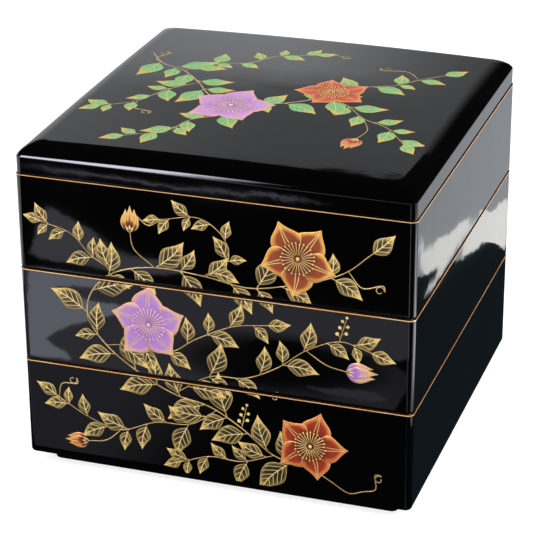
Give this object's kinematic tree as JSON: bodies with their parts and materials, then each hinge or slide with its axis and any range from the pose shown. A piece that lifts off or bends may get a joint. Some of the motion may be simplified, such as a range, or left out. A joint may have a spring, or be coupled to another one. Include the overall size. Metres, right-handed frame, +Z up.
{
  "type": "stacking lunch box",
  "caption": "Square stacking lunch box of lacquered wood: nesting tiers with gilt mouth edging and a lift-off lid with rolled edges.",
  "frame": {"origin": "centre of the footprint, on the surface the box stands on", "axes": "+Z up, front face towards -Y, right face towards +X"},
  "size_m": [0.195, 0.195, 0.1718],
  "materials": {
    "black_lacquer": "black lacquer over wood, mirror gloss",
    "vermilion_lacquer": "vermilion lacquer over wood, gloss",
    "base_lacquer": "black lacquer over wood, gloss",
    "gilt_edging": "gilt, satin"
  },
  "bodies": {
    "bottom_tier": {"bottom_front_board": "black_lacquer", "bottom_back_board": "black_lacquer", "bottom_left_board": "black_lacquer", "bottom_right_board": "black_lacquer", "bottom_floor_panel": "vermilion_lacquer", "bottom_mouth_edging": "gilt_edging", "bottom_base_front_strip": "base_lacquer", "bottom_base_back_strip": "base_lacquer", "bottom_base_left_strip": "base_lacquer", "bottom_base_right_strip": "base_lacquer"},
    "middle_tier": {"middle_front_board": "black_lacquer", "middle_back_board": "black_lacquer", "middle_left_board": "black_lacquer", "middle_right_board": "black_lacquer", "middle_floor_panel": "vermilion_lacquer", "middle_mouth_edging": "gilt_edging", "middle_base_front_strip": "base_lacquer", "middle_base_back_strip": "base_lacquer", "middle_base_left_strip": "base_lacquer", "middle_base_right_strip": "base_lacquer"},
    "top_tier": {"top_front_board": "black_lacquer", "top_back_board": "black_lacquer", "top_left_board": "black_lacquer", "top_right_board": "black_lacquer", "top_floor_panel": "vermilion_lacquer", "top_mouth_edging": "gilt_edging", "top_base_front_strip": "base_lacquer", "top_base_back_strip": "base_lacquer", "top_base_left_strip": "base_lacquer", "top_base_right_strip": "base_lacquer"},
    "lid": {"lid_panel": "black_lacquer", "lid_front_rail": "black_lacquer", "lid_back_rail": "black_lacquer", "lid_left_rail": "black_lacquer", "lid_right_rail": "black_lacquer", "lid_front_locating_strip": "base_lacquer", "lid_back_locating_strip": "base_lacquer", "lid_left_locating_strip": "base_lacquer", "lid_right_locating_strip": "base_lacquer"}
  },
  "joints": [
    {"name": "middle_tier_lift", "type": "slide", "parent": "bottom_tier", "child": "middle_tier", "axis": [0, 0, 1], "range_m": [0, 0.08]},
    {"name": "top_tier_lift", "type": "slide", "parent": "middle_tier", "child": "top_tier", "axis": [0, 0, 1], "range_m": [0, 0.08]},
    {"name": "lid_lift", "type": "slide", "parent": "top_tier", "child": "lid", "axis": [0, 0, 1], "range_m": [0, 0.08]}
  ]
}
